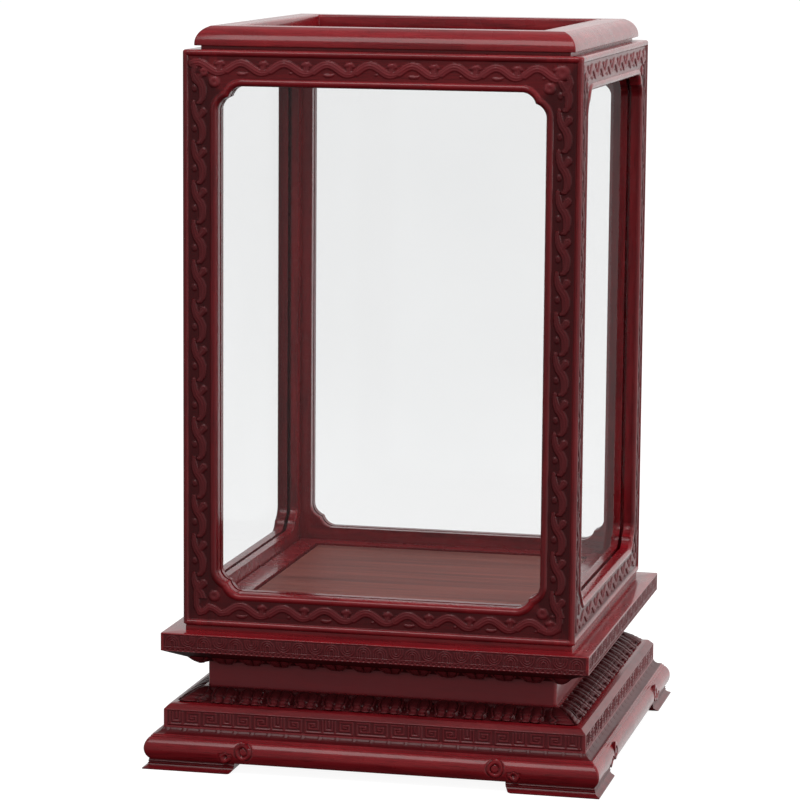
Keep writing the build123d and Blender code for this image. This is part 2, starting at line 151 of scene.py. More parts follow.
# ---------------------------------------------------------------- materials --
def lacquer(name, axis, deep=(0.078, 0.0028, 0.0048), mid=(0.135, 0.0048, 0.0078), light=(0.190, 0.0085, 0.0115)):
    """Dark red lacquer over figured wood; the grain runs along one axis."""
    m = bpy.data.materials.new(name)
    m.use_nodes = True
    nt = m.node_tree
    nt.nodes.clear()
    add, link = nt.nodes.new, nt.links.new
    out = add("ShaderNodeOutputMaterial")
    bsdf = add("ShaderNodeBsdfPrincipled")
    link(bsdf.outputs[0], out.inputs[0])
    co = add("ShaderNodeTexCoord")
    along, across = 9.0, 150.0
    scale = [across] * 3
    scale[axis] = along
    mp = add("ShaderNodeMapping")
    mp.inputs["Scale"].default_value = scale
    link(co.outputs["Object"], mp.inputs["Vector"])
    bend = add("ShaderNodeTexNoise")
    bend.inputs["Scale"].default_value = 14.0
    bend.inputs["Detail"].default_value = 2.0
    link(co.outputs["Object"], bend.inputs["Vector"])
    wob = add("ShaderNodeVectorMath")
    wob.operation = "MULTIPLY_ADD"
    wob.inputs[1].default_value = (1.6, 1.6, 1.6)
    link(bend.outputs["Color"], wob.inputs[0])
    link(mp.outputs[0], wob.inputs[2])
    grain = add("ShaderNodeTexNoise")
    grain.inputs["Scale"].default_value = 1.0
    grain.inputs["Detail"].default_value = 7.0
    grain.inputs["Roughness"].default_value = 0.62
    link(wob.outputs[0], grain.inputs["Vector"])
    ramp = add("ShaderNodeValToRGB")
    el = ramp.color_ramp.elements
    el[0].position, el[0].color = 0.30, (*deep, 1)
    el[1].position, el[1].color = 0.74, (*light, 1)
    e = el.new(0.50)
    e.color = (*mid, 1)
    link(grain.outputs["Fac"], ramp.inputs["Fac"])
    # fine dark pores
    pore_map = add("ShaderNodeMapping")
    scale = [1500.0] * 3
    scale[axis] = 70.0
    pore_map.inputs["Scale"].default_value = scale
    link(co.outputs["Object"], pore_map.inputs["Vector"])
    pores = add("ShaderNodeTexNoise")
    pores.inputs["Scale"].default_value = 1.0
    pores.inputs["Detail"].default_value = 2.0
    link(pore_map.outputs[0], pores.inputs["Vector"])
    pore_ramp = add("ShaderNodeValToRGB")
    el = pore_ramp.color_ramp.elements
    el[0].position, el[0].color = 0.30, (0.62, 0.58, 0.58, 1)
    el[1].position, el[1].color = 0.46, (1, 1, 1, 1)
    link(pores.outputs["Fac"], pore_ramp.inputs["Fac"])
    mul = add("ShaderNodeMix")
    mul.data_type, mul.blend_type = "RGBA", "MULTIPLY"
    mul.inputs[0].default_value = 1.0
    link(ramp.outputs["Color"], mul.inputs[6])
    link(pore_ramp.outputs["Color"], mul.inputs[7])
    # carved wood is duller and browner than the polished mouldings, in patches
    cut = add("ShaderNodeAttribute")
    cut.attribute_name = "carved"
    patch = add("ShaderNodeTexNoise")
    patch.inputs["Scale"].default_value = 75.0
    patch.inputs["Detail"].default_value = 5.0
    link(co.outputs["Object"], patch.inputs["Vector"])
    amount = add("ShaderNodeMapRange")
    amount.inputs["From Min"].default_value, amount.inputs["From Max"].default_value = 0.25, 0.75
    amount.inputs["To Min"].default_value, amount.inputs["To Max"].default_value = 0.55, 1.0
    link(patch.outputs["Fac"], amount.inputs["Value"])
    dull = add("ShaderNodeMath")
    dull.operation = "MULTIPLY"
    dull.use_clamp = True
    link(cut.outputs["Fac"], dull.inputs[0])
    link(amount.outputs[0], dull.inputs[1])
    brown = add("ShaderNodeMix")
    brown.data_type = "RGBA"
    brown.inputs[7].default_value = (0.120, 0.0155, 0.0190, 1)
    link(dull.outputs[0], brown.inputs[0])
    link(mul.outputs[2], brown.inputs[6])
    # painted shade: the colour darkens towards a near-black red where the mesh's shade amount is high, in recesses and
    # under overhangs
    at = add("ShaderNodeAttribute")
    at.attribute_name = "painted_shade"
    shade_fac = add("ShaderNodeMath")
    shade_fac.operation = "MULTIPLY"
    shade_fac.inputs[1].default_value = 0.90
    shade_fac.use_clamp = True
    link(at.outputs["Fac"], shade_fac.inputs[0])
    dark = add("ShaderNodeMix")
    dark.data_type = "RGBA"
    dark.inputs[7].default_value = (0.025, 0.0010, 0.0018, 1)
    link(shade_fac.outputs[0], dark.inputs[0])
    link(brown.outputs[2], dark.inputs[6])
    link(dark.outputs[2], bsdf.inputs["Base Color"])
    # polish varies a little, and is duller in the recesses
    pol = add("ShaderNodeTexNoise")
    pol.inputs["Scale"].default_value = 55.0
    pol.inputs["Detail"].default_value = 4.0
    link(co.outputs["Object"], pol.inputs["Vector"])
    rr = add("ShaderNodeMapRange")
    rr.inputs["To Min"].default_value = 0.20
    rr.inputs["To Max"].default_value = 0.36
    link(pol.outputs["Fac"], rr.inputs["Value"])
    rd = add("ShaderNodeMath")
    rd.operation = "MULTIPLY_ADD"
    rd.inputs[1].default_value = 0.12
    link(dull.outputs[0], rd.inputs[0])
    link(rr.outputs[0], rd.inputs[2])
    rc = add("ShaderNodeMath")
    rc.operation = "MULTIPLY_ADD"
    rc.inputs[1].default_value = 0.20
    link(shade_fac.outputs[0], rc.inputs[0])
    link(rd.outputs[0], rc.inputs[2])
    link(rc.outputs[0], bsdf.inputs["Roughness"])
    bump = add("ShaderNodeBump")
    bump.inputs["Strength"].default_value = 0.22
    bump.inputs["Distance"].default_value = 0.00012
    link(grain.outputs["Fac"], bump.inputs["Height"])
    link(bump.outputs[0], bsdf.inputs["Normal"])
    bsdf.inputs["IOR"].default_value = 1.5
    bsdf.inputs["Specular IOR Level"].default_value = 0.09
    bsdf.inputs["Coat Roughness"].default_value = 0.10
    # the clear coat lies thinner in the carving
    worked = add("ShaderNodeMath")
    worked.use_clamp = True
    link(shade_fac.outputs[0], worked.inputs[0])
    link(dull.outputs[0], worked.inputs[1])
    thin = add("ShaderNodeMapRange")
    thin.inputs["To Min"].default_value, thin.inputs["To Max"].default_value = 0.38, 0.18
    link(worked.outputs[0], thin.inputs["Value"])
    link(thin.outputs[0], bsdf.inputs["Coat Weight"])
    return m


def plain_wood(name, axis, dark, light, rough, across=120.0, along=7.0):
    """Uncoated or satin wood with open grain."""
    m = bpy.data.materials.new(name)
    m.use_nodes = True
    nt = m.node_tree
    add, link = nt.nodes.new, nt.links.new
    bsdf = nt.nodes["Principled BSDF"]
    co = add("ShaderNodeTexCoord")
    mp = add("ShaderNodeMapping")
    scale = [across] * 3
    scale[axis] = along
    mp.inputs["Scale"].default_value = scale
    link(co.outputs["Object"], mp.inputs["Vector"])
    grain = add("ShaderNodeTexNoise")
    grain.inputs["Scale"].default_value = 1.0
    grain.inputs["Detail"].default_value = 8.0
    grain.inputs["Roughness"].default_value = 0.66
    grain.inputs["Distortion"].default_value = 0.5
    link(mp.outputs[0], grain.inputs["Vector"])
    ramp = add("ShaderNodeValToRGB")
    el = ramp.color_ramp.elements
    el[0].position, el[0].color = 0.33, (*dark, 1)
    el[1].position, el[1].color = 0.68, (*light, 1)
    link(grain.outputs["Fac"], ramp.inputs["Fac"])
    link(ramp.outputs["Color"], bsdf.inputs["Base Color"])
    rr = add("ShaderNodeMapRange")
    rr.inputs["To Min"].default_value = rough - 0.06
    rr.inputs["To Max"].default_value = rough + 0.08
    link(grain.outputs["Fac"], rr.inputs["Value"])
    link(rr.outputs[0], bsdf.inputs["Roughness"])
    bump = add("ShaderNodeBump")
    bump.inputs["Strength"].default_value = 0.30
    bump.inputs["Distance"].default_value = 0.0002
    link(grain.outputs["Fac"], bump.inputs["Height"])
    link(bump.outputs[0], bsdf.inputs["Normal"])
    bsdf.inputs["Specular IOR Level"].default_value = 0.06
    return m


def glass(name):
    """Clear pane: shows what is behind it, with a faint tint and faint marks."""
    m = bpy.data.materials.new(name)
    m.use_nodes = True
    nt = m.node_tree
    nt.nodes.clear()
    add, link = nt.nodes.new, nt.links.new
    out = add("ShaderNodeOutputMaterial")
    mix = add("ShaderNodeMixShader")
    link(mix.outputs[0], out.inputs[0])
    co = add("ShaderNodeTexCoord")
    haze = add("ShaderNodeTexNoise")
    haze.inputs["Scale"].default_value = 9.0
    haze.inputs["Detail"].default_value = 4.0
    link(co.outputs["Object"], haze.inputs["Vector"])
    ramp = add("ShaderNodeValToRGB")
    el = ramp.color_ramp.elements
    el[0].position, el[0].color = 0.30, (0.936, 0.938, 0.939, 1)
    el[1].position, el[1].color = 0.72, (0.944, 0.946, 0.947, 1)
    link(haze.outputs["Fac"], ramp.inputs["Fac"])
    clear = add("ShaderNodeBsdfTransparent")
    link(ramp.outputs["Color"], clear.inputs["Color"])
    shine = add("ShaderNodeBsdfGlossy")
    shine.inputs["Roughness"].default_value = 0.015
    # mirrors 2% head on and a little more at a glancing angle, alike on both faces
    lean = add("ShaderNodeLayerWeight")
    lean.inputs["Blend"].default_value = 0.5
    fifth = add("ShaderNodeMath")
    fifth.operation = "POWER"
    fifth.inputs[1].default_value = 5.0
    link(lean.outputs["Facing"], fifth.inputs[0])
    fres = add("ShaderNodeMath")
    fres.operation = "MULTIPLY_ADD"
    fres.inputs[1].default_value, fres.inputs[2].default_value = 0.04, 0.02
    fres.use_clamp = True
    link(fifth.outputs[0], fres.inputs[0])
    link(fres.outputs[0], mix.inputs[0])
    link(clear.outputs[0], mix.inputs[1])
    link(shine.outputs[0], mix.inputs[2])
    return m


def steel(name):
    m = bpy.data.materials.new(name)
    m.use_nodes = True
    nt = m.node_tree
    add, link = nt.nodes.new, nt.links.new
    bsdf = nt.nodes["Principled BSDF"]
    bsdf.inputs["Metallic"].default_value = 1.0
    co = add("ShaderNodeTexCoord")
    n = add("ShaderNodeTexNoise")
    n.inputs["Scale"].default_value = 900.0
    link(co.outputs["Object"], n.inputs["Vector"])
    ramp = add("ShaderNodeValToRGB")
    el = ramp.color_ramp.elements
    el[0].color, el[1].color = (0.42, 0.41, 0.38, 1), (0.62, 0.61, 0.57, 1)
    link(n.outputs["Fac"], ramp.inputs["Fac"])
    link(ramp.outputs["Color"], bsdf.inputs["Base Color"])
    rr = add("ShaderNodeMapRange")
    rr.inputs["To Min"].default_value, rr.inputs["To Max"].default_value = 0.28, 0.42
    link(n.outputs["Fac"], rr.inputs["Value"])
    link(rr.outputs[0], bsdf.inputs["Roughness"])
    return m


LACQ = [lacquer(f"lacquer_grain_{'xyz'[i]}", i) for i in range(3)]
FLOOR_WOOD = plain_wood("floor_panel_wood", 0, (0.090, 0.022, 0.018), (0.195, 0.056, 0.044), 0.50, 110.0, 6.0)
CARCASS = plain_wood("carcass_wood", 0, (0.22, 0.115, 0.070), (0.40, 0.24, 0.155), 0.62)
GLASS = glass("clear_glass")
STEEL = steel("screw_steel")


def along(a):
    return LACQ[0] if a % 180 == 0 else LACQ[1]


# -------------------------------------------------- carving on the frame face --
C1 = circle3((CUSP_END, 0.0), (11.0, 3.0), (CUSP, CUSP))
GROUND = 1.55
BAND = 12.9  # the vine's centre line, from the outer edge
VINE_A, VINE_T = 3.5, 2.85  # its swing and its half width


def outline(x, z):
    """Distance from the window's opening, over the wood."""
    u = WIN - np.abs(x)
    v = np.minimum(z - WIN_LOW, WIN_TOP - z)
    d = np.hypot(np.maximum(-u, 0), np.maximum(CUSP_END - v, 0))
    d = np.minimum(d, np.hypot(np.maximum(-v, 0), np.maximum(CUSP_END - u, 0)))
    for cu, cv in ((C1[0], C1[1]), (C1[1], C1[0])):
        d = np.minimum(d, np.maximum(np.hypot(u - cu, v - cv) - C1[2], 0))
    return np.minimum(d, np.hypot(np.maximum(CUSP - u, 0), np.maximum(CUSP - v, 0)))


def strands(q, t):
    """Height of a ribbon with three strands, q from its centre line."""
    r = np.abs(q) / t
    h = 1.18 * np.sqrt(np.clip(1 - r**3, 0, 1))
    return np.where(r < 1, h - 0.34 * np.exp(-(((r - 0.37) / 0.20) ** 2)), 0.0)


def path_ribbon(x, z, pts, t):
    best = np.full(np.shape(x), 99.0)
    for (ax, ay), (bx, by) in zip(pts, pts[1:]):
        l2 = (bx - ax) ** 2 + (by - ay) ** 2
        k = np.clip(((x - ax) * (bx - ax) + (z - ay) * (by - ay)) / l2, 0, 1)
        best = np.minimum(best, np.hypot(x - ax - k * (bx - ax), z - ay - k * (by - ay)))
    return strands(best, t)


def ribbon(s, w, pts):
    """Ribbon of changing width along points (s, w, half width)."""
    best = np.full(np.shape(s), 9.0)
    for (ax, ay, at), (bx, by, bt) in zip(pts, pts[1:]):
        l2 = (bx - ax) ** 2 + (by - ay) ** 2
        k = np.clip(((s - ax) * (bx - ax) + (w - ay) * (by - ay)) / l2, 0, 1)
        best = np.minimum(best, np.hypot(s - ax - k * (bx - ax), w - ay - k * (by - ay)) / (at + k * (bt - at)))
    return strands(best, 1.0)


def knob(s, w, cs, cw, rs, rw, high):
    return high * np.sqrt(np.clip(1 - ((s - cs) / rs) ** 2 - ((w - cw) / rw) ** 2, 0, 1))


def boss(x, z, cx, cz, r):
    """A rounded boss with a shallow dimple."""
    d = np.hypot(x - cx, z - cz)
    return 1.45 * np.sqrt(np.clip(1 - (d / r) ** 2, 0, 1)) - 0.75 * np.exp(-((d / (0.40 * r)) ** 2))


# one scroll on the upright members, downwards and towards +x: a hooked stem,
# and the round head that the next stem grows from
STEM = [(-4.5, -4.4, 1.5), (-1.0, -4.3, 2.2), (3.0, -3.6, 2.6), (7.0, -1.9, 2.9), (10.6, 0.8, 3.1), (14.5, 2.4, 3.2), (18.5, 2.6, 3.1), (22.0, 2.1, 2.6), (24.6, 0.8, 2.0), (25.4, -0.9, 1.3)]
HEAD = [(2.4, 3.0, 3.0), (5.4, 0.8, 2.2), (7.2, -1.4, 1.8)]


def stile_unit(s, w):
    h = np.maximum(ribbon(s, w, STEM), 0.95 * ribbon(s, w, HEAD))
    h = np.maximum(h, knob(s, w, 14.8, -3.7, 2.6, 2.0, 0.85) - 0.35 * np.exp(-(((s - 15.2) / 0.9) ** 2 + ((w + 3.9) / 0.8) ** 2)))
    return h


def vine_unit(s, w, p, head, odd):
    """One scroll of the vine: crest at s = 0, next trough at s = p / 2."""
    k = 2 * math.pi / p
    wc, sl = VINE_A * np.cos(k * s), -VINE_A * k * np.sin(k * s)
    q = (w - wc) / np.sqrt(1 + sl**2)
    hs = -head * p
    hw = VINE_A * math.cos(k * hs)
    q = np.where(s < hs, np.hypot(s - hs, w - hw), q)
    end = smooth(s, 0.34 * p, 0.70 * p)
    t = VINE_T * (1 - 0.30 * end)
    h = strands(q, t) * (1 - 0.25 * end)
    h = np.where(s > 0.80 * p, 0, h)
    # a broad capped bud stands in the trough, its stalk ribbed like a fan
    m = 0.5 * p + 0.4
    cap = knob(s, w, m, 3.5 - 0.05 * (s - m) ** 2, 4.1, 2.1, 1.22) - 0.40 * np.exp(-(((s - m - 1.6) / 1.1) ** 2 + ((w - 2.9) / 0.8) ** 2))
    f = np.clip((w + 2.5) / 5.5, 0, 1)
    stalk = 0.95 * np.sqrt(np.clip(1 - ((s - m + 0.8 - 0.8 * f) / (1.7 + 1.5 * f)) ** 2, 0, 1)) * ((w > -2.5) & (w < 3.4))
    fan = np.arctan2(s - m + 0.6, w + 7.0)
    stalk = np.where(stalk > 0, stalk - 0.14 * (1 + np.cos(fan * 34)), 0)
    h = np.maximum(h, np.maximum(cap, stalk))
    # on every second scroll a leaf lies under the crest
    c = w + 4.6 - 0.05 * (s - 0.8) ** 2
    leaf = 0.80 * np.sqrt(np.clip(1 - ((s - 1.2) / 4.4) ** 2 - (c / 1.35) ** 2, 0, 1))
    return np.maximum(h, leaf if odd else knob(s, w, 4.8, -3.3, 1.2, 0.9, 0.6))


def vine(x, z):
    h = np.zeros(np.shape(x))
    # along the rails the pitch shortens slightly from left to right
    for zc, first in ((TOP - BAND, 0), (LOW + BAND, 1)):
        near = np.abs(z - zc) < 8.5
        if near.any():
            xs, ws = x[near], (z - zc)[near]
            best = np.zeros(len(xs))
            for k in range(first, 9):
                ck = -138.38 + 33.54 * k - 0.215 * k * k
                p = 33.33 - 0.43 * k
                hit = np.abs(xs - ck - 5) < p
                head = 0.13 if k == 0 else 0.31
                if hit.any():
                    best[hit] = np.maximum(best[hit], vine_unit(xs[hit] - ck, ws[hit], p, head, k % 2))
            h[near] = np.maximum(h[near], best)
    p = 29.5
    for xc in (-CASE + BAND + 0.3, CASE - BAND - 0.3):
        near = (np.abs(x - xc) < 8.5) & (z > 128) & (z < 521)
        if near.any():
            zs, ws = z[near], (x - xc)[near]
            best = np.zeros(len(zs))
            for k in range(-8, 6):
                top = 360.8 + 17.0 + p * k
                hit = np.abs(top - zs - 12) < 18
                if hit.any():
                    best[hit] = np.maximum(best[hit], stile_unit(top - zs[hit], ws[hit]))
            h[near] = np.maximum(h[near], best)
    # where the two runs meet in the corners
    zb = LOW + BAND
    near = (np.abs(x) > 108) & ((z > 500) | (z < 150))
    if near.any():
        xs, zs = x[near], z[near]
        c = boss(xs, zs, 134.6, 527.0, 5.7)
        c = np.maximum(c, boss(xs, zs, -133.4, 522.6, 3.4))
        c = np.maximum(c, path_ribbon(xs, zs, [(-140.4, 526.0), (-141.6, 521.5), (-140.6, 517.0), (-137.0, 513.8)], 2.1))
        c = np.maximum(c, path_ribbon(xs, zs, [(139.6, 523.4), (140.8, 519.5), (139.6, 515.6), (136.4, 512.2)], 2.3))
        c = np.maximum(c, path_ribbon(xs, zs, [(124, zb - 1.5), (128, zb - 2.9), (132.4, zb - 2.7), (136.4, zb - 0.2), (138.2, zb + 4.2), (138.2, zb + 11), (137.0, zb + 17)], 2.6))
        c = np.maximum(c, path_ribbon(xs, zs, [(-138.6, zb + 19), (-139.4, zb + 9), (-138.8, zb + 1.5), (-136.4, zb - 2.9), (-133.2, zb - 1.6), (-129.6, zb + 1.7), (-125.4, zb + 0.6), (-120.4, zb - 2.7), (-114.5, zb - 1.6)], 2.5))
        h[near] = np.maximum(h[near], c)
    for cx in (-125.4, 125.4):
        for cz in (515.6, 130.4):
            near = (np.abs(x - cx) < 6) & (np.abs(z - cz) < 6)
            if near.any():
                h[near] = np.maximum(h[near], boss(x[near], z[near], cx, cz, 4.4))
    return h


def frame_depth(x, z):
    """How far the carved face lies behind the plane of the case's side, and
    how much painted shade each point takes, in the recesses and more on the
    uprights. The rounding of the top and bottom edges is added by end_round."""
    x, z = np.broadcast_arrays(np.asarray(x, float), np.asarray(z, float))
    ex = CASE - np.abs(x)
    e = np.minimum(ex, np.minimum(z - LOW, TOP - z))
    d = outline(x, z)
    r = 4.0  # the upright corners of the case are well rounded
    round_x = np.where(ex < r, r - np.sqrt(np.clip(r * r - (r - ex) ** 2, 0, None)), 0)
    # half-round bead along the outer edge
    border = 2.6 - np.sqrt(np.clip(6.76 - np.maximum(e - 2.3, 0) ** 2, 0, None))
    ground = np.where(e < 5.1, np.minimum(border, GROUND), GROUND + 0.30 * np.exp(-(((d - 6.7) / 0.5) ** 2)))
    rb = 2.85
    k = np.abs(d - 3.05)
    bead = 0.18 + rb - np.sqrt(np.clip(rb * rb - np.minimum(k, rb) ** 2, 0, None))
    vh = vine(x, z)
    face = np.minimum(ground, GROUND - vh)
    depth = np.where(d < 3.05, bead, np.minimum(face, bead))
    inside = smooth(e, 4.6, 5.3) * smooth(d, 4.9, 5.8)
    # painted shade: the uprights are darker in their ground and beads than the rails, as they take less of the light
    # from above
    upright = smooth(np.minimum(z - LOW, TOP - z) - ex, -3.0, 5.0)
    low = np.clip(1.0 - vh / 0.95, 0, 1) ** 0.8
    shade_amount = inside * (upright * (0.62 + 0.38 * low) + (1 - upright) * 0.48 * low) + (1 - inside) * upright * 0.46
    # the bottom rails are darker than the top ones
    shade_amount = np.clip(shade_amount + inside * (1 - upright) * 0.34 * smooth(140 - z, 0, 10), 0, 1)
    # painted shade: thin dark lines along the grooves beside the outer bead and the window bead
    shade_amount = np.maximum(shade_amount, 0.75 * np.exp(-(((e - 4.75) / 0.35) ** 2)))
    shade_amount = np.maximum(shade_amount, 0.6 * np.exp(-(((d - 6.2) / 0.5) ** 2)) * smooth(e, 4.6, 5.3))
    return depth + round_x, shade_amount, inside * smooth(vh, 0.0, 0.3)


def end_round(z):
    ez = np.minimum(z - LOW, TOP - z)
    r = 2.0
    return np.where(ez < r, r - np.sqrt(np.clip(r * r - (r - ez) ** 2, 0, None)), 0)


# Spacing across a frame member, from the outer edge to the window.
ACROSS = np.concatenate([
    [1.1716, 1.35, 1.6, 1.9, 2.25, 2.65, 3.05, 3.4, 3.7, 3.98, 4.22, 4.45, 4.62, 4.85, 5.15],
    spread(5.6, 20.0, STEP * 0.9),
    [20.5, 21.0, 21.4, 21.8, 22.3, 22.9, 23.6, 24.3, 25.0, 25.6, 26.1, 26.45, 26.7, 26.85, 27.0],
])
ENDS = np.array([0.0, 0.05, 0.2, 0.45, 0.8, 1.25, 1.75, 2.2, 2.7, 3.15, 3.55, 3.9, 4.2, 4.45, 4.62, 4.85, 5.15])


def post(name, a):
    zr = np.concatenate([LOW + ENDS, spread(LOW + 5.6, TOP - 5.6, STEP), (TOP - ENDS)[::-1]])
    cut = TOP - 3.0
    zr = np.unique(np.concatenate([zr, [cut]]))
    rows = np.concatenate([zr[zr <= cut], zr[zr >= cut]])
    high = np.arange(len(rows)) > int((zr <= cut).sum()) - 1
    X = -CASE + ACROSS
    Xg, Zg = np.meshgrid(X, rows)
    o = end_round(Zg)
    df, cf, kf = frame_depth(Xg, Zg)
    dl, cl, kl = frame_depth(-Xg, Zg)
    shift = o * (-WIN - Xg) / (CASE - WIN)
    fx, fy = Xg + shift, -CASE + df + o
    lx, ly = -CASE + dl + o, Xg + shift
    n = len(rows)
    inner = np.where(high, -136.0, -INNER)
    one = np.ones(n)
    mid = [
        (-WIN * one, -GLASS_OUT * one), (-128.0 * one, -GLASS_OUT * one), (-128.0 * one, inner), (inner, inner),
        (inner, -128.0 * one), (-GLASS_OUT * one, -128.0 * one), (-GLASS_OUT * one, -WIN * one),
    ]
    mx, my = np.stack([m[0] for m in mid], 1), np.stack([m[1] for m in mid], 1)
    px = np.concatenate([fx, mx, lx[:, ::-1]], 1)
    py = np.concatenate([fy, my, ly[:, ::-1]], 1)
    shade_amount = np.concatenate([cf, np.zeros((n, 7)), cl[:, ::-1]], 1)
    cut_by_hand = np.concatenate([kf, np.zeros((n, 7)), kl[:, ::-1]], 1)
    pz = np.repeat(rows[:, None], px.shape[1], 1)
    N = px.shape[1]
    caps = [np.arange(N), (np.arange(N) + (n - 1) * N)[::-1]]
    return make(name, turn_plan(px, py, pz, a).reshape(-1, 3), grid_quads(n, N), caps, "cover", [name], LACQ[2], shade_amount, carved=cut_by_hand)


def rail(name, a, top):
    if top:
        e = np.concatenate([ENDS, ACROSS[ACROSS > 5.3]])
        e = np.append(e[e < 26.4], 26.5)
        z = (TOP - e)[::-1]
        back = [(GLASS_OUT, TOP, 0), (GLASS_OUT, TOP, 1), (136, TOP, 1), (136, TOP - 3, 1), (INNER, TOP - 3, 1), (INNER, 517.5, 1), (GLASS_OUT, 517.5, 1), (GLASS_OUT, 517.5, 0), (GLASS_OUT, WIN_TOP, 0)]
    else:
        e = np.concatenate([ENDS, ACROSS[ACROSS > 5.3]])
        e = np.append(e[e < 25.9], 26.0)
        z = LOW + e
        back = [(GLASS_OUT, WIN_LOW, 0), (GLASS_OUT, 128, 0), (GLASS_OUT, 128, 1), (INNER, 128, 1), (INNER, LOW, 1), (GLASS_OUT, LOW, 1), (GLASS_OUT, LOW, 0)]
    k = len(z)
    t = np.linspace(-1, 1, int(2 * WIN / STEP))
    Z, T = np.meshgrid(z, t)
    d, c, cut = frame_depth(T * WIN, Z)
    h = CASE - d - end_round(Z)
    m = len(t)
    bh = np.repeat(np.array([b[0] for b in back], float)[None], m, 0)
    bz = np.repeat(np.array([b[1] for b in back], float)[None], m, 0)
    half = np.concatenate([np.full(k, WIN), np.array([128.0 if b[2] else WIN for b in back])])
    H = np.concatenate([h, bh], 1)
    ZZ = np.concatenate([Z, bz], 1)
    XX = t[:, None] * half[None]
    shade_amount = np.concatenate([c, np.zeros_like(bh)], 1)
    cut = np.concatenate([cut, np.zeros_like(bh)], 1)
    N = H.shape[1]
    if top:
        A, B, q = [*range(k), k, k + 7, k + 8], [k + 1, k + 2, k + 3, k + 4, k + 5, k + 6], [k, k + 1, k + 6, k + 7]
    else:
        A, B, q = [*range(k), k, k + 1, k + 6], [k + 2, k + 3, k + 4, k + 5], [k + 1, k + 2, k + 5, k + 6]
    caps = [np.array(g) for g in (A, B, q)] + [(np.array(g) + (m - 1) * N)[::-1] for g in (A, B, q)]
    return make(name, turn(XX, H, ZZ, a).reshape(-1, 3), grid_quads(m, N), caps, "cover", [name], along(a), shade_amount, carved=cut)


def spandrels():
    """Double-curved window corners, in front of and behind the glass."""
    arc1 = arc((CUSP_END, 0.0), (11.0, 3.0), (CUSP, CUSP), 30)
    pts = np.concatenate([arc1, arc1[::-1, ::-1][1:]])[1:-1]
    n = len(pts)
    f = np.arange(n) / (n - 1)
    L = np.where(f[:, None] < 0.5, np.stack([CUSP_END * (1 - 2 * f), 0 * f], 1), np.stack([0 * f, CUSP_END * (2 * f - 1)], 1))
    rows = np.concatenate([[0, 0.008, 0.02, 0.04, 0.07, 0.11], np.linspace(0.16, 1, 20)])
    grid = pts[None] + rows[:, None, None] * (L - pts)[None]
    J = len(rows)
    verts, quads, ngons, shade_amounts, base = [], [], [], [], 0
    for _, a in SIDES:
        for front in (True, False):
            for sx in (-1, 1):
                for z0, sz in ((WIN_LOW, 1), (WIN_TOP, -1)):
                    x = sx * (WIN - grid[..., 0])
                    z = z0 + sz * grid[..., 1]
                    if front:
                        d, c, _ = frame_depth(x, z)
                        h, hb = CASE - d, GLASS_OUT
                        h[0] = np.minimum(h[0], CASE - 2.7)
                    else:
                        c = np.zeros_like(x)
                        edge = np.hypot(grid[..., 0] - pts[None, :, 0], grid[..., 1] - pts[None, :, 1])
                        h, hb = INNER + 0.9 * np.clip(1 - edge / 0.9, 0, 1) ** 2, GLASS_IN
                    ring = [*range(n), *[j * n + n - 1 for j in range(1, J)], *[(J - 1) * n + i for i in range(n - 2, -1, -1)], *[j * n for j in range(J - 2, 0, -1)]]
                    v = turn(x, h, z, a).reshape(-1, 3)
                    back = turn(x.ravel()[ring], np.full(len(ring), hb), z.ravel()[ring], a)
                    q = grid_quads(J, n, wrap=False)
                    m = len(ring)
                    r = np.array(ring)
                    b = J * n + np.arange(m)
                    # outward: test the face against the side's own direction
                    up = np.cross(v[q[:, 1]] - v[q[:, 0]], v[q[:, 3]] - v[q[:, 0]]).sum(0)
                    out = np.array([math.sin(math.radians(a)), -math.cos(math.radians(a)), 0]) * (1 if front else -1)
                    if up @ out < 0:
                        q = q[:, ::-1]
                    edges = set(map(tuple, np.concatenate([q[:, [0, 1]], q[:, [1, 2]], q[:, [2, 3]], q[:, [3, 0]]]).tolist()))
                    if (ring[0], ring[1]) in edges:
                        wall = np.stack([np.roll(r, -1), r, b, np.roll(b, -1)], 1)
                        cap = b[::-1]
                    else:
                        wall = np.stack([r, np.roll(r, -1), np.roll(b, -1), b], 1)
                        cap = b
                    verts.append(np.concatenate([v, back]))
                    shade_amounts.append(np.concatenate([c.ravel(), np.zeros(m)]))
                    quads.append(np.concatenate([q, wall]) + base)
                    ngons.append(cap + base)
                    base += len(v) + m
    return make("window_spandrels", np.concatenate(verts), np.concatenate(quads), ngons, "cover", ["window_spandrels"], LACQ[0], np.concatenate(shade_amounts))


